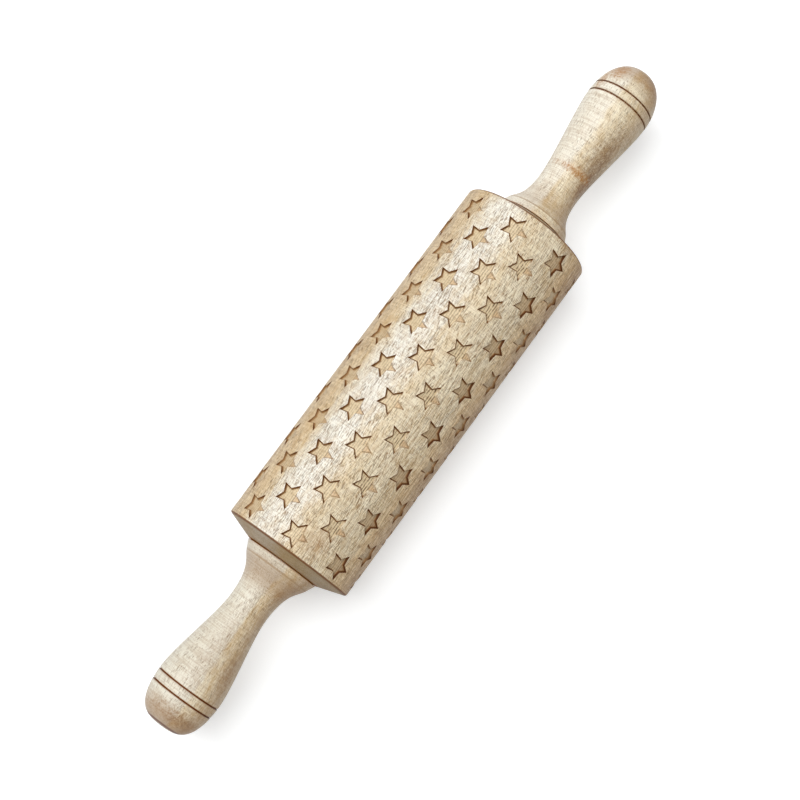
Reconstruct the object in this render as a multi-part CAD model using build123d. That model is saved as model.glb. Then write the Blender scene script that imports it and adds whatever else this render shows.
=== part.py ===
from build123d import *
import math
import os

# An embossed rolling pin. A turned wooden barrel with star-shaped pockets spins on a steel rod,
# in a plastic bush at each end. The rod is screwed into two turned wooden handles, which stay still.
# Frame: X runs along the pin, Z is up, and the origin lies on the table under the middle of the barrel.
# All sizes are in millimetres. Every piece is modelled on the pin's own axis, then lifted off the table.

# Barrel: a straight cylinder, then a bevel down to a flat ring at each end
barrel_radius = 32.5
barrel_length = 185.9
barrel_edge_round = 1.2
bevel_length = 4.55
barrel_end_radius = 18.8
barrel_bore_radius = 6.0

# Star pockets: rows along the pin, each row half a pitch along from the last.
# The pattern sits a little to one side and winds a few degrees round the barrel from end to end.
star_radius = 6.4
star_inner_share = 0.5
star_points = 5
star_depth = 1.1
star_pitch = 24.0
star_rows = 16
long_row_star_count = 8
pattern_shift = -1.1
pattern_turn = -0.7
pattern_twist = -4.7

# Steel rod: a plain bearing length with a thinner threaded tail at each end
rod_radius = 5.0
thread_radius = 4.0
thread_length = 24.0
rod_chamfer = 0.8

# Plastic bush: a sleeve pressed into the barrel, with a flange that takes the end thrust
bush_running_clearance = 0.05
bush_sleeve_radius = 8.0
bush_sleeve_length = 22.0
bush_flange_radius = 11.0
bush_flange_thickness = 2.0
bush_seat_clearance = 0.3

# Steel thrust washer, clamped between the rod's shoulder and the handle
washer_radius = 10.0
washer_thickness = 1.2
washer_hole_clearance = 0.2
barrel_end_float = 0.1
handle_gap = 0.35

# Brass insert, screwed into the handle, with barbed rings that grip the wood
insert_radius = 6.0
insert_length = 20.0
insert_groove_depth = 0.6
insert_groove_width = 1.2
insert_grooves = 4

# Handles: a collar that faces the barrel, a waist, a swell for the palm and a blunt crown.
# They were turned by hand to one pattern, so waist, swell and crown differ a little from one to the other.
collar_radius = 18.6
collar_length = 4.2
collar_crease_radius = 16.6
crown_flat_radius = 3.0
tail_hole_clearance = 0.4
tail_hole_spare = 2.0

# The handle at the +X end
right_handle_length = 91.3
right_waist_radius = 10.85
right_waist_from_face = 21.8
right_swell_radius = 16.3
right_swell_from_face = 70.4
right_crown_run_share = 0.57
right_crown_drop_share = 0.55

# The handle at the -X end: a thinner waist, and a shorter, flatter crown
left_handle_length = 89.5
left_waist_radius = 10.0
left_waist_from_face = 25.3
left_swell_radius = 16.05
left_swell_from_face = 68.4
left_crown_run_share = 0.94
left_crown_drop_share = 0.39

# Two burnt rings turned into each handle
ring_width = 0.7
ring_depth = 0.5
first_ring_from_face = 69.5
ring_spacing = 4.95

# How full the curves of both handles are, as shares of the run and of the drop of each curve
cove_start_share = 0.19
cove_drop_share = 0.3
cove_end_share = 0.73
swell_ease_share = 0.24

# One overrun serves all cuts
overrun = 1.0

# Places along the axis, counted from the middle of the pin
barrel_end = barrel_length / 2 + bevel_length
handle_face = barrel_end + handle_gap
washer_face = handle_face - washer_thickness
flange_face = washer_face - barrel_end_float
flange_back = flange_face - bush_flange_thickness


def round_bar(radius, start, end):
    """A cylinder on the pin's axis, from start to end along X."""
    bar = Cylinder(radius, end - start, align=(Align.CENTER, Align.CENTER, Align.MIN))
    return Pos(start, 0, 0) * Rot(0, 90, 0) * bar


def ring_bar(outer_radius, inner_radius, start, end):
    """A tube on the pin's axis, from start to end along X."""
    bore = round_bar(inner_radius, start - overrun, end + overrun)
    return round_bar(outer_radius, start, end) - bore


def turned(edges):
    """A solid turned round the pin's axis from the edges of a closed half outline."""
    return revolve(make_face(edges), Axis.X)


def star_outline():
    """One star, with a single point towards -Y and an arm to each side along X."""
    points = []
    for corner in range(2 * star_points):
        angle = math.radians(-90 + corner * 180 / star_points)
        radius = star_radius * star_inner_share if corner % 2 else star_radius
        points.append((radius * math.cos(angle), radius * math.sin(angle)))
    return make_face(Polyline(*points, close=True))


def star_cutter():
    """A star post standing on the pin's axis, trimmed to the round floor of its pocket."""
    post = extrude(star_outline(), barrel_radius + overrun)
    floor = round_bar(barrel_radius - star_depth, -2 * star_radius, 2 * star_radius)
    return post - floor


def star_places():
    """The place along X and the turn about X of every star on the barrel."""
    places = []
    for row in range(star_rows):
        stars = long_row_star_count - row % 2
        row_turn = pattern_turn - row * 360 / star_rows
        for star in range(stars):
            along = pattern_shift + star_pitch * (star - (stars - 1) / 2)
            places.append((along, row_turn + pattern_twist * along / barrel_length))
    return places


def barrel():
    half_length = barrel_length / 2
    outline = Polyline(
        (-barrel_end, 0),
        (-barrel_end, barrel_end_radius),
        (-half_length, barrel_radius),
        (half_length, barrel_radius),
        (barrel_end, barrel_end_radius),
        (barrel_end, 0),
        close=True,
    )
    body = turned(outline)
    rims = body.edges().filter_by(GeomType.CIRCLE).group_by(SortBy.RADIUS)[-1]
    body = fillet(rims, barrel_edge_round)
    body -= round_bar(barrel_bore_radius, -barrel_end - overrun, barrel_end + overrun)
    for side in (1, -1):
        seat = round_bar(bush_sleeve_radius, flange_back - bush_sleeve_length, flange_back + overrun)
        recess = round_bar(bush_flange_radius + bush_seat_clearance, flange_back, barrel_end + overrun)
        body -= to_side(seat + recess, side)
    cutter = star_cutter()
    return body - [Rot(turn, 0, 0) * Pos(place, 0, 0) * cutter for place, turn in star_places()]


def axle_rod():
    tail_end = handle_face + thread_length
    rod = round_bar(rod_radius, -washer_face, washer_face)
    rod += round_bar(thread_radius, -tail_end, tail_end)
    tips = rod.edges().filter_by(GeomType.CIRCLE)
    tips = ShapeList([tips.sort_by(Axis.X)[0], tips.sort_by(Axis.X)[-1]])
    return chamfer(tips, rod_chamfer)


def bearing_bush():
    bore_radius = rod_radius + bush_running_clearance
    sleeve = ring_bar(bush_sleeve_radius, bore_radius, flange_back - bush_sleeve_length, flange_back)
    return sleeve + ring_bar(bush_flange_radius, bore_radius, flange_back, flange_face)


def thrust_washer():
    return ring_bar(washer_radius, thread_radius + washer_hole_clearance, washer_face, handle_face)


def threaded_insert():
    insert = ring_bar(insert_radius, thread_radius, handle_face, handle_face + insert_length)
    step = insert_length / (insert_grooves + 1)
    for groove in range(insert_grooves):
        middle = handle_face + step * (groove + 1)
        start = middle - insert_groove_width / 2
        floor_radius = insert_radius - insert_groove_depth
        insert -= ring_bar(insert_radius + overrun, floor_radius, start, start + insert_groove_width)
    return insert


def handle_sizes(side):
    """Length, waist and its place, swell and its place, and the crown's two shares, for one handle."""
    if side > 0:
        waist = (right_waist_radius, right_waist_from_face)
        swell = (right_swell_radius, right_swell_from_face)
        return (right_handle_length, *waist, *swell, right_crown_run_share, right_crown_drop_share)
    waist = (left_waist_radius, left_waist_from_face)
    swell = (left_swell_radius, left_swell_from_face)
    return (left_handle_length, *waist, *swell, left_crown_run_share, left_crown_drop_share)


def handle_blank(side, skin):
    """One handle's turned shape, at the +X end, with a skin of that thickness taken off its curves."""
    length, waist_radius, waist_run, swell_radius, swell_place, run_share, drop_share = handle_sizes(side)
    face = handle_face
    crease = face + collar_length
    waist = face + waist_run
    swell = face + swell_place
    tip = face + length
    cove_run = waist - crease
    cove_drop = collar_crease_radius - waist_radius
    swell_run = swell - waist
    crown_run = tip - swell
    crown_drop = swell_radius - crown_flat_radius
    collar = Line((face, collar_radius - skin), (crease, collar_crease_radius - skin))
    cove = Bezier(
        (crease, collar_crease_radius - skin),
        (crease + cove_start_share * cove_run, collar_crease_radius - cove_drop_share * cove_drop - skin),
        (waist - cove_end_share * cove_run, waist_radius - skin),
        (waist, waist_radius - skin),
    )
    grip = Bezier(
        (waist, waist_radius - skin),
        (waist + swell_ease_share * swell_run, waist_radius - skin),
        (swell - swell_ease_share * swell_run, swell_radius - skin),
        (swell, swell_radius - skin),
    )
    crown = Bezier(
        (swell, swell_radius - skin),
        (swell + run_share * crown_run, swell_radius - skin),
        (tip, crown_flat_radius + drop_share * crown_drop - skin),
        (tip, crown_flat_radius - skin),
    )
    ends = Polyline((tip, crown_flat_radius - skin), (tip, 0), (face, 0), (face, collar_radius - skin))
    return turned([collar, cove, grip, crown, ends])


def handle(side):
    core = handle_blank(side, ring_depth)
    grip = handle_blank(side, 0)
    for ring in range(2):
        middle = handle_face + first_ring_from_face + ring * ring_spacing
        slab = round_bar(collar_radius + overrun, middle - ring_width / 2, middle + ring_width / 2)
        grip -= slab - core
    insert_end = handle_face + insert_length
    tail_end = handle_face + thread_length + tail_hole_spare
    grip -= round_bar(insert_radius, handle_face - overrun, insert_end)
    return grip - round_bar(thread_radius + tail_hole_clearance, insert_end - overrun, tail_end)


def to_side(shape, side):
    """The piece as modelled at the +X end, or its mirror image at the -X end."""
    return shape if side > 0 else mirror(shape, about=Plane.YZ)


def save(shape, node):
    """Lift a piece off the table with the barrel and write it under its node's name."""
    placed = Pos(0, 0, barrel_radius) * shape
    placed.label = node
    export_step(placed, "parts/" + node + ".step")
    print(node, round(placed.volume), "mm3")


os.makedirs("parts", exist_ok=True)
save(barrel(), "barrel")
save(axle_rod(), "axle_rod")
for side_name, side in (("right", 1), ("left", -1)):
    save(to_side(bearing_bush(), side), side_name + "_bearing_bush")
    save(to_side(thrust_washer(), side), side_name + "_thrust_washer")
    save(to_side(threaded_insert(), side), side_name + "_threaded_insert")
    save(to_side(handle(side), side), side_name + "_handle")
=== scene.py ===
# %% [markdown]
# An embossed rolling pin, dressed for its portrait. The sizes, the joint and the hidden hardware come from the
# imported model, which is loaded as a fixed frame. This script adds what the eye sees: pale oiled wood, burnt
# star pockets, burnt rings on the handles, soft studio light and a camera that looks almost straight down.
#
# First the frame is loaded and its own box is kept, because nothing made below may grow past it. The barrel
# lies on the table, so the pin's axis is as high above it as the barrel's radius.

# %% Load the frame and keep its box
import bmesh
import bpy
import math
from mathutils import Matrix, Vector
from mathutils.geometry import delaunay_2d_cdt


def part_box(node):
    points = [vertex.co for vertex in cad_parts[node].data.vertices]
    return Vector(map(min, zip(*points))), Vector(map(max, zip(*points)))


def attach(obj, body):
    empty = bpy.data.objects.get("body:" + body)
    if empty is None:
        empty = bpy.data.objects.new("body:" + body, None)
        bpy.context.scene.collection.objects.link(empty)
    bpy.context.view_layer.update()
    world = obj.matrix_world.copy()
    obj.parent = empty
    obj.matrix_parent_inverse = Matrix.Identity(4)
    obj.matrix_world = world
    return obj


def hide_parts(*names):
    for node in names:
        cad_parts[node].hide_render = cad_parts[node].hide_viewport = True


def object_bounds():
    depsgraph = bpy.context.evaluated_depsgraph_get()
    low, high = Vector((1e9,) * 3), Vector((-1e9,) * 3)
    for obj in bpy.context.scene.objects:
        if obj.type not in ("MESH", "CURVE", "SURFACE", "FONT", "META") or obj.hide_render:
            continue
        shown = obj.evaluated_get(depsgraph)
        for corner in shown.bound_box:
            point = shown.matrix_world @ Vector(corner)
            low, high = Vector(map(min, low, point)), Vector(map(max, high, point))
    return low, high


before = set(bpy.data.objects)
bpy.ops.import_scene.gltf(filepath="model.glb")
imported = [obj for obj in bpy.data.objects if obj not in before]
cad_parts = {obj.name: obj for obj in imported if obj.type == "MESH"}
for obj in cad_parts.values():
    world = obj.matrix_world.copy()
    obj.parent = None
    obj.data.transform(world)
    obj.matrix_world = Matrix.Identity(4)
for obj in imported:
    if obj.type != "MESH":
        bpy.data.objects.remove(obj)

cad_low, cad_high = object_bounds()
mm = 0.001
axis_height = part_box("barrel")[1].z / 2
barrel_radius = axis_height
pin_length = cad_high.x - cad_low.x
print("pin", round(pin_length / mm, 1), "mm long, axis", round(axis_height / mm, 1), "mm above the table")

# %% [markdown]
# The camera comes first, since every later choice is judged through it. The photo was taken from nearly
# straight above with a long lens, and the pin runs from the lower left to the upper right. The place was found
# by fitting a level camera to the barrel's outline and to the rows of stars, so it is given as a direction, a
# distance and a lens, all aimed at a point close to the middle of the pin.

# %% Camera
camera_azimuth = math.radians(-53.92)
camera_elevation = math.radians(79.91)
camera_distance = 789.8 * mm
camera_lens = 77.15
camera_target = Vector((-5.9 * mm, 0.7 * mm, axis_height))
camera_back = Vector((
    math.sin(camera_azimuth) * math.cos(camera_elevation),
    -math.cos(camera_azimuth) * math.cos(camera_elevation),
    math.sin(camera_elevation),
))
camera_data = bpy.data.cameras.new("camera")
camera_data.lens = camera_lens
camera = bpy.data.objects.new("camera", camera_data)
camera.location = camera_target + camera_back * camera_distance
camera.rotation_euler = (-camera_back).to_track_quat("-Z", "Y").to_euler()
bpy.context.scene.collection.objects.link(camera)
bpy.context.scene.camera = camera
print("camera", [round(c / mm) for c in camera.location], "mm")

# %% [markdown]
# A material in Blender is a graph of nodes. Typed out node by node it gets long, so a small recipe class holds
# the graph and gives one short method for each step a wood finish needs: a noise, a smooth step, a sum, a mix.
# Every method returns an output socket, so that steps can be nested like a formula.

# %% A recipe for building materials
def linear(red, green, blue):
    """A colour given in 0 to 255 steps, as the linear colour that the shader works in."""
    def channel(c):
        c /= 255
        return c / 12.92 if c <= 0.04045 else ((c + 0.055) / 1.055) ** 2.4
    return (channel(red), channel(green), channel(blue), 1)


class Recipe:
    """One material's graph of nodes."""

    def __init__(self, name):
        self.material = bpy.data.materials.new(name)
        self.material.use_nodes = True
        self.tree = self.material.node_tree
        self.shader = self.tree.nodes["Principled BSDF"]

    def feed(self, socket, value):
        """Link a socket to another node's output, or give it a plain value."""
        if isinstance(value, bpy.types.NodeSocket):
            self.tree.links.new(value, socket)
        else:
            socket.default_value = value

    def node(self, kind, inputs=None, output=0, **settings):
        """Add a node, set it up, feed its inputs and return one of its outputs."""
        made = self.tree.nodes.new(kind)
        for name, value in settings.items():
            setattr(made, name, value)
        for name, value in (inputs or {}).items():
            self.feed(made.inputs[name], value)
        return made.outputs[output]

    def math(self, operation, first, second=0.0):
        return self.node("ShaderNodeMath", {0: first, 1: second}, operation=operation)

    def plus(self, first, second):
        return self.math("ADD", first, second)

    def minus(self, first, second):
        return self.math("SUBTRACT", first, second)

    def times(self, first, second):
        return self.math("MULTIPLY", first, second)

    def swing(self, noise, reach):
        """A noise, which runs from 0 to 1, as a swing to both sides of nothing."""
        return self.times(self.minus(noise, 0.5), reach)

    def vector(self, operation, first, second=None, output="Vector"):
        """A sum on places or directions. SCALE is the one that takes a plain number."""
        inputs = {0: first}
        if second is not None:
            inputs["Scale" if operation == "SCALE" else 1] = second
        return self.node("ShaderNodeVectorMath", inputs, output, operation=operation)

    def noise(self, place, detail=2.0, rough=0.5, output="Fac"):
        inputs = {"Vector": place, "Scale": 1.0, "Detail": detail, "Roughness": rough}
        return self.node("ShaderNodeTexNoise", inputs, output)

    def between(self, value, low, high, to_low=0.0, to_high=1.0):
        """A smooth step: value at low gives to_low and value at high gives to_high."""
        inputs = {"Value": value, "From Min": low, "From Max": high, "To Min": to_low, "To Max": to_high}
        return self.node("ShaderNodeMapRange", inputs, interpolation_type="SMOOTHSTEP")

    def mix(self, amount, first, second, blend="MIX"):
        """Two colours mixed. Inputs 6 and 7 and output 2 are the node's sockets for colours."""
        inputs = {0: amount, 6: first, 7: second}
        return self.node("ShaderNodeMix", inputs, 2, data_type="RGBA", blend_type=blend)

    def attribute(self, name):
        """A value that the mesh stores at each of its points."""
        return self.node("ShaderNodeAttribute", output="Fac", attribute_name=name)

    def object_place(self):
        """Each point's place on its own piece, in metres. It moves with the piece."""
        return self.node("ShaderNodeTexCoord", output="Object")

    def from_middle(self, place):
        """How far along the pin a place is from its middle, towards either end."""
        return self.math("ABSOLUTE", self.node("ShaderNodeSeparateXYZ", {0: place}, "X"))

    def stretched(self, place, along, across):
        """The place, squeezed so that one cell of a noise is that long along the pin and that wide across."""
        return self.vector("MULTIPLY", place, (1 / along, 1 / across, 1 / across))

    def finish(self, colour, roughness, height, depth):
        bump = self.node("ShaderNodeBump", {"Height": height, "Distance": depth, "Strength": 1.0})
        self.feed(self.shader.inputs["Base Color"], colour)
        self.feed(self.shader.inputs["Roughness"], roughness)
        self.feed(self.shader.inputs["Normal"], bump)
        return self.material


print("recipe ready")

# %% [markdown]
# Much of the finish is laid on by place: on one side of the pin, or in a narrow band round it. A turned piece
# has two handy measures for that, the turn round its axis and the distance along it. Both are worked out from
# the point's place on its own piece, so the colours go round with the barrel when it spins.

# %% Sides and bands
def facing(recipe, place, turn):
    """1 on the side of the pin at that turn from its top, in degrees, and -1 on the opposite side."""
    turn = math.radians(turn)
    side = recipe.vector("MULTIPLY", recipe.vector("SUBTRACT", place, (0, 0, axis_height)), (0, 1, 1))
    side = recipe.vector("NORMALIZE", side)
    return recipe.vector("DOT_PRODUCT", side, (0, math.sin(turn), math.cos(turn)), "Value")


def near(recipe, along, place, half_width, strength):
    """The strength at one place along, and nothing beyond a narrow band there."""
    off = recipe.math("ABSOLUTE", recipe.minus(along, place))
    return recipe.between(off, 0.4 * half_width, half_width, strength, 0)


def edge_line(recipe, along, colour, place, half_width, tint, strength):
    """The colour with a thin line across it at one place along."""
    return recipe.mix(near(recipe, along, place, half_width, strength), colour, tint)


print("sides and bands ready")

# %% [markdown]
# The pin is turned from a pale tropical hardwood. Its grain climbs a few degrees against the pin and never
# runs dead straight. A noise follows it when the place it is looked up at is turned by the climb and then bent
# by two slow wanders. A seed moves that place as well, so each piece is cut from its own part of the tree. The
# noises are three-dimensional, so the pattern runs through the wood as in a real blank, and no seam or
# stretching can show on a turned shape.

# %% Grain
grain_climb = math.radians(3.5)
grain_wanders = (
    # along, across, swing, all in millimetres
    (30, 9, 3.5),
    (4, 1.6, 0.9),
)
wood_noises = {
    # cell along and across in millimetres, detail, roughness
    "mottle": (7, 2.6, 4, 0.65),
    "honey": (9, 3.4, 2, 0.5),
    "crowd": (16, 5, 2, 0.5),
    "pore": (3.6, 0.36, 1, 0.5),
    "short fibre": (2.8, 0.4, 3, 0.7),
    "long fibre": (13, 0.3, 3, 0.7),
    "scratch": (15, 0.24, 1, 0.5),
}


def grain_place(recipe, object_place, seed):
    """The place in the tree, in millimetres along and across its grain."""
    place = recipe.vector("SCALE", object_place, 1 / mm)
    place = recipe.node(
        "ShaderNodeVectorRotate", {"Vector": place, "Angle": -grain_climb}, rotation_type="Z_AXIS",
    )
    place = recipe.vector("ADD", place, seed)
    for along, across, swing in grain_wanders:
        wander = recipe.noise(recipe.stretched(place, along, across), output="Color")
        wander = recipe.vector("SUBTRACT", wander, (0.5, 0.5, 0.5))
        place = recipe.vector("ADD", place, recipe.vector("MULTIPLY", wander, (0, swing, swing)))
    return place


def wood_noise(recipe, place, name):
    along, across, detail, rough = wood_noises[name]
    return recipe.noise(recipe.stretched(place, along, across), detail, rough)


print("grain ready with", len(wood_noises), "noises")

# %% [markdown]
# The wood's broad tones come first. Cream and tan clouds follow the growth of the tree, with honey patches
# between them. One long side of the pin, turned towards the lamps, is painted whitish as a highlight. The
# flanks beside it are painted brown as shade, and the brown fades again towards the far side. A paler and a
# darker band along the pin, at set distances from the lit side, are painted light and shade as well.

# %% Broad tones of the wood
wood_cream = linear(243, 232, 205)
wood_tan = linear(222, 201, 162)
wood_honey = linear(208, 172, 118)
highlight_white = linear(245, 244, 235)
highlight_grey = linear(227, 225, 213)
heartwood_and_shade_brown = linear(149, 99, 39)
highlight_border_width = 0.14


def broad_tones(recipe, place, side, mottle, clouds, painted_highlight, flank_shade, painted_light_bands):
    """The colour of the blank before its fine fibres, and how much shade is painted on its flank. Side is 1
    where the highlight is painted.
    """
    highlight_border, highlight_share, highlight_tint = painted_highlight
    shade_full, shade_border, shade_share = flank_shade
    cloud = recipe.noise(recipe.stretched(place, *clouds), 3, 0.6)
    tone = recipe.plus(recipe.times(cloud, 0.5), recipe.times(mottle, 0.7))
    colour = recipe.mix(recipe.between(tone, 0.46, 0.74), wood_tan, wood_cream)
    honey = recipe.between(wood_noise(recipe, place, "honey"), 0.54, 0.7, 0, 0.3)
    colour = recipe.mix(honey, colour, wood_honey)
    # Painted highlight: the side turned towards the lamps is painted whitish.
    highlight_amount = recipe.between(side, highlight_border, highlight_border + highlight_border_width, 0, highlight_share)
    colour = recipe.mix(highlight_amount, colour, highlight_tint)
    # Painted light and shade: a paler and a darker band along the pin, by the distance from the lit side.
    for middle, half_width, share, tint in painted_light_bands:
        colour = edge_line(recipe, side, colour, middle, half_width, tint, share)
    # Painted shade: the flanks away from the lit side are painted brown.
    flank_shade_amount = recipe.between(side, shade_full, shade_border, shade_share, 0)
    flank_shade_amount = recipe.times(flank_shade_amount, recipe.between(side, -0.9, -0.1, 0.35, 1))
    return recipe.mix(flank_shade_amount, colour, heartwood_and_shade_brown), flank_shade_amount


print("highlight_white", [round(c, 2) for c in highlight_white[:3]], "heartwood_and_shade_brown", [round(c, 2) for c in heartwood_and_shade_brown[:3]])

# %% [markdown]
# Up close the wood shows fine tan fibres with bright ones between them, short dark pores in loose crowds, long
# fine scratches with the grain, and the faint rings that the lathe leaves. On the side with the painted
# highlight the fibres are short flecks, and elsewhere they are long streaks, so two noises take turns.

# %% Fine tones of the wood
streak_and_shade_brown = linear(150, 110, 62)
wood_pore = linear(120, 90, 56)


def fine_tones(recipe, object_place, place, side, colour, fibre_share, pore_share):
    """The colour with its fine marks, and how strong the pores and the fibres are."""
    flecked = recipe.between(side, 0.7, 0.96)
    short, long = wood_noise(recipe, place, "short fibre"), wood_noise(recipe, place, "long fibre")
    fibre = recipe.plus(recipe.times(recipe.minus(short, long), flecked), long)
    streak = recipe.between(fibre, 0.525, 0.6, 0, fibre_share)
    streak = recipe.times(streak, recipe.between(flecked, 0, 1, 1, 0.85))
    bright = recipe.between(fibre, 0.38, 0.52, 0.9 * fibre_share, 0)
    bright = recipe.times(bright, recipe.between(flecked, 0, 1, 1, 0.15))
    lathe = recipe.noise(recipe.stretched(object_place, 0.6 * mm, 20 * mm), 2, 0.6)
    lathe = recipe.between(lathe, 0.35, 0.6, 0.26, 0)
    scratch = recipe.between(wood_noise(recipe, place, "scratch"), 0.58, 0.65, 0, fibre_share)
    scratch = recipe.times(scratch, recipe.between(flecked, 0, 1, 0.7, 0.1))
    crowd = recipe.times(wood_noise(recipe, place, "crowd"), 0.3)
    pore = recipe.plus(wood_noise(recipe, place, "pore"), crowd)
    pore = recipe.between(pore, pore_share, pore_share + 0.07)
    colour = recipe.mix(streak, colour, streak_and_shade_brown)
    colour = recipe.mix(bright, colour, wood_cream)
    colour = recipe.mix(lathe, colour, streak_and_shade_brown)
    colour = recipe.mix(scratch, colour, wood_pore)
    colour = recipe.mix(recipe.times(pore, 0.6), colour, wood_pore)
    return colour, pore, fibre


def wood_layers(recipe, seed, clouds, pore_share, lit_turn, painted_highlight, flank_shade, fibre_share, painted_light_bands=()):
    """A blank's place and colour, and how strong its pores, fibres and painted flank shade are at each point.
    """
    object_place = recipe.object_place()
    place = grain_place(recipe, object_place, seed)
    mottle = wood_noise(recipe, place, "mottle")
    side = recipe.plus(facing(recipe, object_place, lit_turn), recipe.swing(mottle, 0.12))
    colour, flank_shade_amount = broad_tones(recipe, place, side, mottle, clouds, painted_highlight, flank_shade, painted_light_bands)
    colour, pore, fibre = fine_tones(recipe, object_place, place, side, colour, fibre_share, pore_share)
    return object_place, colour, pore, fibre, flank_shade_amount


print("wood layers ready")

# %% [markdown]
# Turned wood has blemishes: a knot, a brown smudge where it was held while the oil was wet, a corner rubbed
# dark. Each is a soft ball round a point of the wood, with a ragged border and veins in it, so it wraps round
# the shape like a real stain. Its middle and its reach are given in millimetres.

# %% Blemishes
knot_brown = linear(126, 90, 54)
smudge_brown = linear(146, 104, 58)
smudge_orange = linear(172, 116, 52)
burnt_ring_and_shade = linear(106, 54, 18)
axis = axis_height / mm
barrel_blemishes = (
    # middle, reach, tint, strength
    ((16, 25, axis + 21), (8, 7, 7), wood_honey, 0.5),
    ((-40, 25, axis + 21), (14, 6, 6), wood_honey, 0.4),
    ((-83, -10, axis + 30), (10, 8, 6), heartwood_and_shade_brown, 0.4),
    ((93, -22, axis + 22), (3.5, 12, 12), heartwood_and_shade_brown, 0.6),
    ((93, 5, axis + 31), (1.5, 16, 8), heartwood_and_shade_brown, 0.4),
)
right_blemishes = (
    ((141, -8, axis + 8), (22, 8, 9), knot_brown, 0.75),
    ((125, -11, axis + 4), (11, 5, 9), burnt_ring_and_shade, 0.6),
    ((128, -3, axis + 9), (2.8, 13, 9), smudge_orange, 0.95),
    ((174, 13, axis + 9), (9, 3, 5), smudge_orange, 0.8),
    ((180, 8, axis + 10), (8, 5, 8), smudge_orange, 0.8),
    ((185, -6, axis + 6), (7, 9, 10), smudge_brown, 0.6),
)
left_blemishes = (
    ((-179.5, -1, axis + 9), (5, 14, 12), smudge_brown, 0.6),
    ((-179, -7, axis + 8), (5, 6, 7), knot_brown, 0.65),
    ((-152, -11, axis + 8), (13, 4, 6), smudge_brown, 0.5),
    ((-150, -2, axis + 12), (40, 7, 8), smudge_brown, 0.34),
)


def add_blemishes(recipe, place, colour, blemishes):
    for middle, reach, tint, strength in blemishes:
        offset = recipe.vector("SUBTRACT", place, tuple(c * mm for c in middle))
        offset = recipe.vector("MULTIPLY", offset, tuple(1 / (c * mm) for c in reach))
        ragged = recipe.noise(recipe.stretched(place, 2 * mm, 1.4 * mm), 5, 0.7)
        distance = recipe.plus(recipe.vector("LENGTH", offset, output="Value"), recipe.swing(ragged, 2.4))
        veins = recipe.noise(recipe.stretched(place, 1.1 * mm, 0.5 * mm), 3, 0.7)
        veins = recipe.between(veins, 0.38, 0.58, 0.35, 1)
        amount = recipe.times(recipe.between(distance, 0.2, 1.1, strength, 0), veins)
        colour = recipe.mix(amount, colour, tint)
    return colour


print(len(barrel_blemishes + right_blemishes + left_blemishes), "blemishes")

# %% [markdown]
# The machine that cuts the stars leaves its marks on the pocket floors. Its head ran to and fro along the pin,
# which left fine brown lines, a little wavy and broken, and fainter towards the horns. The single tip of each
# star was cut last and is a little redder, with a fine line where it starts. The mesh made below stores how
# strongly each row is lined and how far each point is across its row, towards the tip.

# %% Pocket floors
floor_tan = linear(226, 207, 171)
tip_red = linear(202, 168, 128)
raster_brown = linear(104, 76, 48)
raster_pitch = 1.25 * mm
tip_start = 2.5 * mm


def raster_lines(recipe, place, across):
    """How strongly the machine's lines show."""
    drift = recipe.noise(recipe.stretched(place, 5 * mm, 1.5 * mm), 1, 0.5)
    waves = recipe.plus(recipe.times(across, 2 * math.pi / raster_pitch), recipe.times(drift, 5))
    dashes = recipe.noise(recipe.stretched(place, 1.8 * mm, 0.5 * mm), 2, 0.5)
    lines = recipe.between(recipe.math("SINE", waves), 0.15, 0.85)
    lines = recipe.times(lines, recipe.between(dashes, 0.34, 0.6, 0.2, 1))
    lines = recipe.times(lines, recipe.between(across, -4 * mm, 0, 0.4, 1))
    return recipe.times(lines, recipe.attribute("etch"))


def pocket_floor_colour(recipe, place, across, fibre, flank_shade_amount):
    """The floor of a star, with the wood's own fibres showing through and the flank's painted shade over it."""
    steps = recipe.noise(recipe.stretched(place, 0.45 * mm, 3 * mm), 1, 0.5)
    colour = recipe.mix(recipe.between(fibre, 0.35, 0.65), floor_tan, wood_tan)
    colour = recipe.mix(recipe.between(steps, 0.45, 0.65, 0, 0.3), colour, streak_and_shade_brown)
    # Painted shade: the floor takes on the flank's painted brown.
    colour = recipe.mix(recipe.times(flank_shade_amount, 0.55), colour, heartwood_and_shade_brown)
    colour = recipe.mix(raster_lines(recipe, place, across), colour, raster_brown)
    tip = recipe.between(across, tip_start - 0.1 * mm, tip_start + 0.1 * mm, 0, 0.5)
    return recipe.mix(tip, colour, tip_red)


print("pocket lines every", round(raster_pitch / mm, 2), "mm")

# %% [markdown]
# The barrel's colour brings this together. Its painted highlight is turned a little towards the lamp, and both
# flanks are tinted warmer and darker as painted shade. The machine burnt the pocket walls brown, shade is
# painted on them too, and the mesh stores how much of both at each point. A weak value gives scorched tan, and
# a strong one charred brown.

# %% Barrel colour
char_and_shade_brown = linear(92, 55, 28)
scorch_and_shade_tan = linear(154, 117, 78)
flank_tints = (
    # turn from the top in degrees, where it starts, where it is full, tint
    (80, 0.64, 0.97, linear(241, 229, 214)),
    (-100, 0.58, 0.74, linear(255, 243, 225)),
)

recipe = Recipe("barrel_wood")
place, colour, pore, fibre, flank_shade_amount = wood_layers(
    recipe,
    seed=(0, 0, 0),
    clouds=(55, 12),
    pore_share=0.735,
    lit_turn=20,
    painted_highlight=(0.9, 0.95, highlight_white),
    flank_shade=(-0.15, 0.38, 0.62),
    fibre_share=0.75,
    painted_light_bands=((0.7, 0.2, 0.35, wood_cream), (0.895, 0.06, 0.3, wood_tan)),
)
across = recipe.attribute("across")
pocket = recipe.attribute("pocket")
burn_and_shade = recipe.attribute("burn_and_shade")
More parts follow.
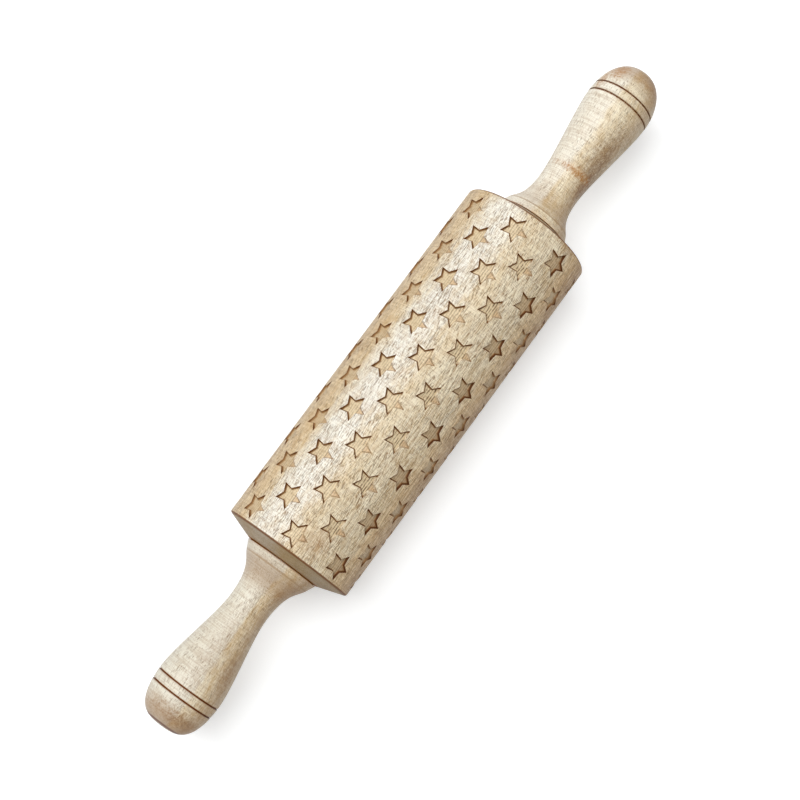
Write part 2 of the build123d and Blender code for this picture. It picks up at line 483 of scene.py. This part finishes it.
# Painted shade: both flanks are tinted warmer and darker.
for turn, start, full, tint in flank_tints:
    flank_tint_amount = recipe.between(facing(recipe, place, turn), start, full)
    colour = recipe.mix(flank_tint_amount, colour, tint, "MULTIPLY")
colour = recipe.mix(pocket, colour, pocket_floor_colour(recipe, place, across, fibre, flank_shade_amount))
colour = edge_line(recipe, across, colour, tip_start, 0.25 * mm, raster_brown, recipe.times(pocket, 0.5))
colour = add_blemishes(recipe, place, colour, barrel_blemishes)
# Burn and painted shade, as stored in the mesh: scorched tan, then charred brown.
colour = recipe.mix(recipe.between(burn_and_shade, 0, 0.45), colour, scorch_and_shade_tan)
colour = recipe.mix(recipe.between(burn_and_shade, 0.45, 1), colour, char_and_shade_brown)
print("barrel colour has", len(recipe.tree.nodes), "nodes")

# %% [markdown]
# Towards the ends of the pin the barrel has a brown line on its rubbed edge, a darker bevel, which is partly
# end grain and partly painted shade, and an end ring beside the handle that is painted brown as shade. The
# oil's gloss is the shader's specular level. Burnt wood, painted shade and those edges have lost it, and the
# fibres make it a little uneven. Pores and fibres also dent the surface, by so little that a bump shows it as
# well as geometry would.

# %% Barrel ends, gloss and bump
edge_brown = linear(118, 70, 32)
gap_shade_brown = linear(164, 108, 62)
end_grain_and_shade = linear(142, 110, 56)
oil_gloss = 0.38
char_gloss = 0.06
barrel_edge = 92.95 * mm
barrel_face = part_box("barrel")[1].x
end_ring_fade = (barrel_face - 0.5 * mm, barrel_face - 0.1 * mm)
along = recipe.from_middle(place)
# A darker bevel: partly end grain, partly painted shade.
colour = recipe.mix(recipe.between(along, barrel_edge, barrel_edge + 0.5 * mm, 0, 0.68), colour, end_grain_and_shade)
colour = edge_line(recipe, along, colour, barrel_edge, 0.65 * mm, edge_brown, 0.9)
# Painted shade: the end ring beside the handle is painted brown.
colour = recipe.mix(recipe.between(along, *end_ring_fade, 0, 0.9), colour, gap_shade_brown)
gloss = recipe.between(burn_and_shade, 0, 0.5, oil_gloss, char_gloss)
gloss = recipe.minus(gloss, near(recipe, along, barrel_edge, 0.9 * mm, 0.3))
gloss = recipe.times(gloss, recipe.between(along, *end_ring_fade, 1, 0))
recipe.feed(recipe.shader.inputs["Specular IOR Level"], recipe.math("MAXIMUM", gloss, 0.0))
roughness = recipe.between(fibre, 0.3, 0.7, 0.34, 0.5)
height = recipe.minus(recipe.times(fibre, -0.25), pore)
barrel_finish = recipe.finish(colour, roughness, height, 0.08 * mm)
print("barrel finish has", len(recipe.tree.nodes), "nodes")

# %% [markdown]
# The handles come from other blanks of the same wood. Theirs is a quieter, cloudier grain with fewer pores.
# Two rings near the end of each are burnt with a wire while the handle spins, so a ring is a thin dark band at
# a given distance from the barrel, with a wavy scorched border. The rings are painted by the place along the
# pin, over the grooves that the solid already has. Shade is painted too: darker in the hollow behind the collar
# and a little on the collar, a line in the crease, darker on the dome past the rings, and brown on the face
# beside the barrel.

# %% Handle finish
handle_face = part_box("right_handle")[0].x
ring_places = (handle_face + 69.5 * mm, handle_face + 74.45 * mm)
ring_half_width = 0.5 * mm
crease_place = handle_face + 4.2 * mm
cove_end = handle_face + 20 * mm
dome_fade = (ring_places[1] + 1 * mm, ring_places[1] + 12 * mm)
collar_fade = (handle_face + 0.1 * mm, handle_face + 0.35 * mm)


def handle_finish(name, blank, collar_shade, cove_shade, dome_shade, tip_shade, ring_wobble, blemishes):
    recipe = Recipe(name + "_wood")
    place, colour, pore, fibre, _ = wood_layers(
        recipe, clouds=(35, 10), pore_share=0.78, fibre_share=0.4, **blank,
    )
    along = recipe.from_middle(place)
    # Painted shade in the hollow behind the collar, and a little on the collar.
    hollow_shade = recipe.between(along, crease_place - 0.5 * mm, crease_place + 1.5 * mm, collar_shade, cove_shade)
    hollow_shade = recipe.times(hollow_shade, recipe.between(along, crease_place + 6 * mm, cove_end, 1, 0))
    colour = recipe.mix(hollow_shade, colour, heartwood_and_shade_brown)
    # Painted shade on the dome past the rings.
    colour = recipe.mix(recipe.between(along, *dome_fade, 0, dome_shade), colour, heartwood_and_shade_brown)
    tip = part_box(name)[1].x if name.startswith("right") else -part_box(name)[0].x
    # Painted shade: a thin dark line round the tip.
    colour = edge_line(recipe, along, colour, tip - 1.2 * mm, 0.7 * mm, burnt_ring_and_shade, tip_shade)
    colour = add_blemishes(recipe, place, colour, blemishes)
    wobble = recipe.noise(recipe.stretched(place, 3 * mm, 0.8 * mm), 2, 0.6)
    worn = recipe.between(wobble, 0.36, 0.5, 1 - 0.75 * ring_wobble, 1)
    wavy = recipe.plus(along, recipe.swing(wobble, ring_wobble * mm))
    gloss = recipe.between(along, *collar_fade, 0, oil_gloss)
    for ring in ring_places:
        colour = edge_line(recipe, wavy, colour, ring, 1.7 * ring_half_width, scorch_and_shade_tan, 0.7)
        colour = edge_line(recipe, along, colour, ring, ring_half_width, burnt_ring_and_shade, worn)
        gloss = recipe.minus(gloss, near(recipe, along, ring, ring_half_width, 0.34))
    # Painted shade: a darker line in the crease.
    colour = edge_line(recipe, along, colour, crease_place, 0.6 * mm, streak_and_shade_brown, 0.5)
    # Painted shade: the face beside the barrel is painted brown.
    colour = recipe.mix(recipe.between(along, *collar_fade, 0.9, 0), colour, gap_shade_brown)
    recipe.feed(recipe.shader.inputs["Specular IOR Level"], gloss)
    roughness = recipe.between(fibre, 0.3, 0.7, 0.32, 0.46)
    height = recipe.minus(recipe.times(fibre, -0.3), pore)
    print(name, "has", len(recipe.tree.nodes), "nodes")
    return recipe.finish(colour, roughness, height, 0.06 * mm)


print("rings", [round(ring / mm, 2) for ring in ring_places], "mm from the middle")

# %% [markdown]
# The two handles are turned from different blanks and burnt by hand, so each gets its own grain, shades and
# blemishes. The +X handle has a whiter painted highlight and its rings are broken. The -X handle has a greyer
# painted highlight, more painted shade in its hollow and cleaner rings, and a thin dark line of painted shade
# runs round its tip.

# %% Two handles
# Each handle has its own painted highlight on the lit side and painted shade on its flank.
right_blank = dict(seed=(400, 60, 20), lit_turn=45, painted_highlight=(0.7, 0.6, highlight_white), flank_shade=(-0.3, 0.44, 0.5))
left_blank = dict(seed=(900, 20, 80), lit_turn=38, painted_highlight=(0.5, 0.75, highlight_grey), flank_shade=(-0.2, 0.62, 0.6))
finishes = {
    "right_handle": handle_finish(
        "right_handle", right_blank, collar_shade=0.03, cove_shade=0.2, dome_shade=0.5, tip_shade=0,
        ring_wobble=0.9, blemishes=right_blemishes,
    ),
    "left_handle": handle_finish(
        "left_handle", left_blank, collar_shade=0.13, cove_shade=0.42, dome_shade=0.52, tip_shade=0.9,
        ring_wobble=0.2, blemishes=left_blemishes,
    ),
}

# %% [markdown]
# The hardware hides inside: a drawn steel rod, zinc-plated washers, nylon bushes and brass inserts. Only a
# hair's breadth of it could ever show through the gap behind a handle, but a good part is finished all
# through. Metal gets fine lathe or drawing lines as roughness, and nylon a faint mottling.

# %% Hardware finishes
def metal(name, tint, along, across, rough_low, rough_high):
    """A metal with fine lines of that size in millimetres, which change its tint and its roughness."""
    recipe = Recipe(name)
    place = recipe.vector("SCALE", recipe.object_place(), 1 / mm)
    lines = recipe.noise(recipe.stretched(place, along, across), 4, 0.6)
    shaded = linear(*(0.8 * c for c in tint))
    colour = recipe.mix(recipe.between(lines, 0.3, 0.7), linear(*tint), shaded)
    recipe.shader.inputs["Metallic"].default_value = 1.0
    return recipe.finish(colour, recipe.between(lines, 0.3, 0.7, rough_low, rough_high), lines, 0.02 * mm)


def nylon(name):
    recipe = Recipe(name)
    cloud = recipe.noise(recipe.vector("SCALE", recipe.object_place(), 1 / (3 * mm)), 3, 0.6)
    colour = recipe.mix(cloud, linear(226, 222, 208), linear(240, 237, 226))
    return recipe.finish(colour, recipe.between(cloud, 0.3, 0.7, 0.4, 0.55), cloud, 0.03 * mm)


finishes["axle_rod"] = metal("drawn_steel", (196, 197, 199), 40, 0.2, 0.22, 0.38)
finishes["thrust_washer"] = metal("zinc_plate", (204, 205, 207), 0.3, 3, 0.3, 0.45)
finishes["threaded_insert"] = metal("turned_brass", (222, 188, 112), 0.2, 6, 0.2, 0.35)
finishes["bearing_bush"] = nylon("nylon")
for node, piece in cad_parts.items():
    if node == "barrel":
        continue
    finish = next(finish for ending, finish in finishes.items() if node.endswith(ending))
    piece.data.materials.clear()
    piece.data.materials.append(finish)
    print(node, "wears", finish.name)

# %% [markdown]
# The barrel's own mesh is made here, so that the stars get softened lips, sloping walls and a burnt
# fringe. Unrolled, the barrel is a sheet, and each row of stars is one strip of it, which leans a little
# because the pattern winds round the barrel. A strip is cut into triangles round its star outlines, wrapped
# back to its place, and the sixteen strips are welded.
#
# A star whose edges all lie at one distance from its middle has a handy property: a larger or smaller copy
# of it is the same as a copy offset by an even margin. So one number, the level, says where a point lies: 1
# is on the outline, less is inside and more is outside.

# %% Star shape
star_points = 5
star_radius = 6.4 * mm
star_inner_share = 0.5
star_depth = 1.1 * mm
star_pitch = 24.0 * mm
star_rows = 16
long_row_stars = 8
pattern_shift = -1.1 * mm
pattern_turn = math.radians(-0.7)
pattern_twist = math.radians(-4.7) / (2 * barrel_edge)
row_pitch = 2 * math.pi * barrel_radius / star_rows
tip_half_turn = math.pi / star_points
inner_corner = star_inner_share * star_radius * complex(math.cos(tip_half_turn), math.sin(tip_half_turn))
edge_normal_turn = math.atan2(star_radius - inner_corner.real, inner_corner.imag)
edge_distance = star_radius * math.cos(edge_normal_turn)


def level_of(margin):
    """The level of the outline grown by a margin."""
    return 1 + margin / edge_distance


def star_level(u, v):
    """The level of a point at u along the pin and v round the barrel, towards the star's single tip."""
    turn = math.atan2(u, v) % (2 * tip_half_turn)
    turn = min(turn, 2 * tip_half_turn - turn)
    return math.hypot(u, v) * math.cos(turn - edge_normal_turn) / edge_distance


def star_loop(margin, steps):
    """The star's outline, grown by a margin, as points with several steps to an edge."""
    corners = []
    for corner in range(2 * star_points):
        reach = star_radius * (star_inner_share if corner % 2 else 1) * level_of(margin)
        turn = corner * tip_half_turn
        corners.append(Vector((reach * math.sin(turn), reach * math.cos(turn))))
    loop = []
    for start, end in zip(corners, corners[1:] + corners[:1]):
        loop += [start.lerp(end, step / steps) for step in range(steps)]
    return loop


print("edge distance", round(edge_distance / mm, 2), "mm, row pitch", round(row_pitch / mm, 2), "mm")

# %% [markdown]
# A strip reaches a little past the single tips on one side and a little past the pairs of horns on the other,
# so no star crosses its borders. The points are an even grid, left out close to a star, plus two loops round
# each star: one where the burnt fringe begins and one where the lip starts to fall. The fringe is narrow,
# because at the tips its loop too has to stay inside the strip. The grid keeps all its points at the borders
# and at both ends, as the next strip and the bevel have theirs there, and only points that match are welded.

# %% One strip of barrel skin
fringe_margin = 0.25 * mm
lip_margin = 0.09 * mm
grid_clearance = 0.6 * mm
loop_steps = 4
strip_past_tip = 7.045 * mm
columns = 124
strip_steps = 8
same_point = 1e-9
edge_round = 1.2 * mm
end_radius = 18.8 * mm
cone_lean = math.atan2(barrel_radius - end_radius, barrel_face - barrel_edge)
skin_half = barrel_edge - edge_round * math.tan(cone_lean / 2)
border = [strip_past_tip - row_pitch * step / strip_steps for step in range(strip_steps + 1)]


def star_centres(stars):
    return [pattern_shift + star_pitch * (star - (stars - 1) / 2) for star in range(stars)]


def skin_strip(stars):
    """Points and triangles of the flat strip that holds one row of stars."""
    centres = star_centres(stars)

    def level_at(x, v):
        return star_level(x - min(centres, key=lambda centre: abs(x - centre)), v)

    points = []
    for column in range(columns + 1):
        x = -skin_half + 2 * skin_half * column / columns
        for v in border:
            at_border = v in (border[0], border[-1]) or column in (0, columns)
            if at_border or level_at(x, v) > level_of(grid_clearance):
                points.append(Vector((x, v)))
    edges = []
    for centre in centres:
        for margin in (fringe_margin, lip_margin):
            loop = [Vector((centre + p.x, p.y)) for p in star_loop(margin, loop_steps)]
            first = len(points)
            points += loop
            edges += [(first + i, first + (i + 1) % len(loop)) for i in range(len(loop))]
    flat, _, faces, *_ = delaunay_2d_cdt(points, edges, [], 0, same_point)
    kept = []
    for face in faces:
        middle = sum((flat[i] for i in face), Vector((0, 0))) / len(face)
        if level_at(middle.x, middle.y) > level_of(0.5 * lip_margin):
            kept.append(face)
    return flat, kept


strips = {stars: skin_strip(stars) for stars in (long_row_stars, long_row_stars - 1)}
print("strips", {stars: len(faces) for stars, (_, faces) in strips.items()}, "triangles")

# %% [markdown]
# A pocket is a stack of loops: the lip, the top of the wall, its foot, a fringe on the floor, and then the
# floor itself, cut into triangles once and reused for all stars. Each loop is the outline with its own margin,
# so the wall is equally steep all round, and it knows its depth and how much burn and painted shade it has.
# The fringe on the floor is darkened partly by burn and partly by painted shade.

# %% One star pocket
pocket_loops = (
    # margin, depth, burn and painted shade, pocket
    (lip_margin, 0, 0.85, 0),
    (0.02 * mm, 0.03 * mm, 1, 0),
    (-0.08 * mm, 0.2 * mm, 1, 0),
    (-0.28 * mm, 0.55 * star_depth, 0.5, 0),
    (-0.48 * mm, star_depth, 0.16, 1),
    (-0.65 * mm, star_depth, 0.02, 1),
    (-0.85 * mm, star_depth, 0, 1),
)
lip_burn = pocket_loops[0][2]
floor_margin = pocket_loops[-1][0]
floor_clearance = 0.5 * mm
floor_grid = [step * mm for step in range(-6, 7)]


def pocket_floor():
    """The floor inside the last loop, as flat points and triangles."""
    loop = star_loop(floor_margin, loop_steps)
    limit = level_of(floor_margin - floor_clearance)
    inside = [Vector((u, v)) for u in floor_grid for v in floor_grid if star_level(u, v) < limit]
    flat, _, faces, *_ = delaunay_2d_cdt(loop + inside, [], [list(range(len(loop)))], 1, same_point)
    return flat, faces


floor_points, floor_faces = pocket_floor()
print("pocket floor", len(floor_faces), "triangles")

# %% [markdown]
# The walls are burnt, and shade is painted on them as well: the walls on the side of the twin horns face away
# from the lamps and are painted the darkest. Each of a star's ten edges has its share of burn and painted shade
# at its start and at its end, from the single tip round by way of an arm, both horns and the other arm. Most
# rows have the usual shares; a few are painted dark all round, a few only lightly, and two have their own.
# Some rows have painted shade on their floors too, and the lines there also differ from row to row. Rows are
# counted from the top of the barrel, towards the upper left of the picture.

# %% Burn, painted shade and lines, row by row
usual_burn_and_shade = (
    (0.35, 0.1), (0, 0.3), (1.2, 0.75), (0.75, 1.1), (1.2, 0.8),
    (0.8, 1.2), (1.1, 0.75), (0.75, 1.2), (0.3, 0), (0.1, 0.35),
)
all_round_burn_and_shade = (
    (1.8, 1.3), (1.7, 2.3), (1.2, 0.9), (0.9, 1.3), (1.3, 0.9),
    (0.9, 1.3), (1.4, 1.0), (0.9, 1.2), (2.3, 1.7), (1.3, 1.8),
)
light_burn_and_shade = (
    (1.1, 0.6), (0.6, 1.1), (0.6, 0.5), (0.5, 1.1), (0.6, 0.2),
    (0.2, 0.6), (1.1, 0.5), (0.5, 0.6), (1.1, 0.6), (0.6, 1.1),
)
high_row_burn_and_shade = (
    (0.2, 0), (0, 0.3), (1.3, 0.7), (0.5, 0.9), (0.9, 0.7),
    (0.7, 0.9), (0.9, 0.5), (0.7, 1.3), (0.3, 0), (0, 0.2),
)
# Rows with their own shares of burn and painted shade, and how much shade is painted on their floors.
row_burn_and_shade = {2: high_row_burn_and_shade, 3: high_row_burn_and_shade, 4: all_round_burn_and_shade, 5: light_burn_and_shade, 13: light_burn_and_shade, 14: all_round_burn_and_shade}
row_floor_shade = {1: 0.05, 2: 0.15, 3: 0.12, 4: 0.15, 13: 0.05, 14: 0.19}
row_etch = {0: 0.6, 4: 0.8, 7: 1, 11: 0.8, 14: 0.7, 15: 1}
usual_etch = 0.45


def burn_and_shade_share(edge_shares, step):
    """The share of burn and painted shade at one step of a star's loop. A corner takes the stronger of its two
    edges.
    """
    edge, share = step // loop_steps, step % loop_steps / loop_steps
    start, end = edge_shares[edge]
    return start * (1 - share) + end * share if share else max(start, edge_shares[edge - 1][1])


# Counts the rows with the usual shares of burn and painted shade, and those with their own.
print(star_rows - len(row_burn_and_shade), "rows in drifting smoke,", len(row_burn_and_shade), "in other air")

# %% [markdown]
# Next comes the step from flat to round. A new point is given its place on the round barrel, and with it the
# four values that the barrel's finish reads. Rings of points are bridged with four-sided faces.

# %% Points and faces of the skin
skin = bmesh.new()
layers = {name: skin.verts.layers.float.new(name) for name in ("burn_and_shade", "pocket", "across", "etch")}


def wrapped(x, v, radius, row):
    """The point at x along the pin and v round the barrel from the middle of a row."""
    turn = pattern_turn + pattern_twist * x - row * 2 * math.pi / star_rows + v / barrel_radius
    return Vector((x, -radius * math.sin(turn), axis_height + radius * math.cos(turn)))


def add_point(x, v, depth, row, burn_and_shade, pocket):
    point = skin.verts.new(wrapped(x, v, barrel_radius - depth, row))
    values = {"burn_and_shade": burn_and_shade, "pocket": pocket, "across": v, "etch": row_etch.get(row, usual_etch)}
    for name, value in values.items():
        point[layers[name]] = value
    return point


def bridge(rings):
    """Four-sided faces from each closed ring of points to the next."""
    for outer, inner in zip(rings, rings[1:]):
        for i in range(len(outer)):
            j = (i + 1) % len(outer)
            skin.faces.new((outer[i], outer[j], inner[j], inner[i]))


print("each point stores", ", ".join(layers))

# %% [markdown]
# Now each strip is wrapped round the barrel and its pockets are set into it. Strips and pockets share the
# points of the lip, which are made twice here and welded afterwards.

# %% Strips and pockets
def add_strip(row, stars):
    """The skin between the stars of a row, burnt at their lips."""
    flat, faces = strips[stars]
    centres = star_centres(stars)
    lip_level = level_of(lip_margin + 0.01 * mm)
    made = []
    for p in flat:
        level = min(star_level(p.x - centre, p.y) for centre in centres if abs(p.x - centre) < star_pitch)
        made.append(add_point(p.x, p.y, 0, row, lip_burn if level < lip_level else 0, 0))
    for face in faces:
        skin.faces.new([made[i] for i in face])


def add_pocket(row, centre):
    """One star's walls and floor."""
    edge_shares, floor_shade = row_burn_and_shade.get(row, usual_burn_and_shade), row_floor_shade.get(row, 0)
    rings = []
    for margin, depth, burn_and_shade, pocket in pocket_loops:
        ring = []
        for step, p in enumerate(star_loop(margin, loop_steps)):
            # Burn and painted shade on the walls, and painted shade on the floor.
            wall_burn_and_shade = max(burn_and_shade * burn_and_shade_share(edge_shares, step), depth / star_depth * floor_shade)
            ring.append(add_point(centre + p.x, p.y, depth, row, wall_burn_and_shade, pocket))
        rings.append(ring)
    bridge(rings)
    made = [add_point(centre + p.x, p.y, star_depth, row, floor_shade, 1) for p in floor_points]
    for face in floor_faces:
        skin.faces.new([made[i] for i in face])


for row in range(star_rows):
    stars = long_row_stars - row % 2
    add_strip(row, stars)
    for centre in star_centres(stars):
        add_pocket(row, centre)
print("skin and pockets", len(skin.verts), "points before welding")

# %% [markdown]
# The ends are turned from a short outline: a small rounding, the bevel, the end ring, the recess for the
# bush's flange, the seat for its sleeve and the bore. Their columns use the same turns as the strips' borders,
# so that all of it welds into one closed skin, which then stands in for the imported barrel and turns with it.

# %% Turn the ends and weld the barrel
rounding_steps = 4
bevel_shares = (0.33, 0.66, 0.97)
recess_radius = 11.3 * mm
seat_radius = 8 * mm
bore_radius = 6 * mm
flange_thickness = 2 * mm
recess_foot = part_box("right_bearing_bush")[1].x - flange_thickness
seat_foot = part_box("right_bearing_bush")[0].x
weld_distance = 0.001 * mm
sharp_turn = math.radians(40)


def end_outline():
    """Half outline of one barrel end, from the rounded edge to the middle of the bore."""
    outline = []
    for step in range(rounding_steps + 1):
        turn = cone_lean * step / rounding_steps
        x = skin_half + edge_round * math.sin(turn)
        outline.append((x, barrel_radius - edge_round * (1 - math.cos(turn))))
    for share in bevel_shares:
        x = barrel_edge + (barrel_face - barrel_edge) * share
        outline.append((x, barrel_radius + (end_radius - barrel_radius) * share))
    outline += [(barrel_face, end_radius - 0.2 * mm), (barrel_face, recess_radius)]
    outline += [(recess_foot, recess_radius), (recess_foot, seat_radius), (seat_foot, seat_radius)]
    return outline + [(seat_foot, bore_radius), (0, bore_radius)]


for side in (1, -1):
    rings = []
    for x, radius in end_outline():
        places = [wrapped(side * x, v, radius, row) for row in range(star_rows) for v in border[:-1]]
        rings.append([skin.verts.new(place) for place in places])
    bridge(rings)

bmesh.ops.remove_doubles(skin, verts=skin.verts, dist=weld_distance)
bmesh.ops.recalc_face_normals(skin, faces=skin.faces)
open_edges = sum(1 for edge in skin.edges if not edge.is_manifold)
barrel_mesh = bpy.data.meshes.new("barrel_skin")
skin.to_mesh(barrel_mesh)
skin.free()
barrel_mesh.polygons.foreach_set("use_smooth", [True] * len(barrel_mesh.polygons))
barrel_mesh.set_sharp_from_angle(angle=sharp_turn)
barrel_mesh.materials.append(barrel_finish)
barrel = bpy.data.objects.new("barrel_skin", barrel_mesh)
bpy.context.scene.collection.objects.link(barrel)
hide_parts("barrel")
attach(barrel, "roller")
barrel_points, barrel_faces = len(barrel_mesh.vertices), len(barrel_mesh.polygons)
print("barrel", barrel_points, "points,", barrel_faces, "faces,", open_edges, "open edges")

# %% [markdown]
# The light is a plain studio's. A large soft lamp almost overhead lights the pin, and a smaller and weaker one
# leans towards the upper left of the picture, which puts the gloss on the pale band along the barrel. Lamps of
# the sun kind are used, because they light each place alike and the pin would look the same anywhere on the
# floor.

# %% Lamps
def studio_lamp(name, lean, strength, spread):
    """A far soft lamp that leans from straight above towards the upper left of the picture, in degrees."""
    lamp = bpy.data.lights.new(name, "SUN")
    lamp.energy = strength
    lamp.angle = math.radians(spread)
    holder = bpy.data.objects.new(name, lamp)
    lean = math.radians(lean)
    holder.rotation_euler = Vector((0, math.sin(lean), math.cos(lean))).to_track_quat("Z", "Y").to_euler()
    bpy.context.scene.collection.objects.link(holder)
    print(name, "spreads over", spread, "degrees")


studio_lamp("overhead", 7.5, 2.13, 45)
studio_lamp("glint", 42, 0.75, 24)

# %% [markdown]
# An even white room fills the shade. It lights the pin weakly, so that the lamps still model its shape, and
# only the camera sees it as pure white.

# %% Room
room_strength = 0.26
world = bpy.data.worlds.new("room")
bpy.context.scene.world = world
world.use_nodes = True
background = world.node_tree.nodes["Background"]
background.inputs["Color"].default_value = (1, 1, 1, 1)
light_path = world.node_tree.nodes.new("ShaderNodeLightPath")
lift = world.node_tree.nodes.new("ShaderNodeMath")
lift.operation = "MULTIPLY_ADD"
lift.inputs[1].default_value = 1 - room_strength
lift.inputs[2].default_value = room_strength
world.node_tree.links.new(light_path.outputs["Is Camera Ray"], lift.inputs[0])
world.node_tree.links.new(lift.outputs[0], background.inputs["Strength"])
print("room strength", room_strength)

# %% [markdown]
# The floor is a sheet of pale paper, far larger than the view. Light from the lamps alone would leave it a
# little grey. Where only the camera looks, a glow lifts it the last step to pure white, and it still keeps the
# pin's soft shadow. The glow lights nothing else.

# %% Floor
floor_reach = 6
floor_tint = (0.785, 0.8, 0.81, 1)
floor_glow = 0.38
floor_mesh = bpy.data.meshes.new("floor")
floor_corners = [(x * floor_reach, y * floor_reach, 0) for x, y in ((-1, -1), (1, -1), (1, 1), (-1, 1))]
floor_mesh.from_pydata(floor_corners, [], [(0, 1, 2, 3)])
floor = bpy.data.objects.new("floor", floor_mesh)
bpy.context.scene.collection.objects.link(floor)
recipe = Recipe("floor_paper")
recipe.shader.inputs["Base Color"].default_value = floor_tint
recipe.shader.inputs["Roughness"].default_value = 1.0
recipe.shader.inputs["Specular IOR Level"].default_value = 0.0
recipe.shader.inputs["Emission Color"].default_value = (1, 1, 1, 1)
camera_ray = recipe.node("ShaderNodeLightPath", output="Is Camera Ray")
recipe.feed(recipe.shader.inputs["Emission Strength"], recipe.times(camera_ray, floor_glow))
floor_mesh.materials.append(recipe.material)
bpy.context.scene.view_settings.view_transform = "Standard"
print("floor", 2 * floor_reach, "m wide")
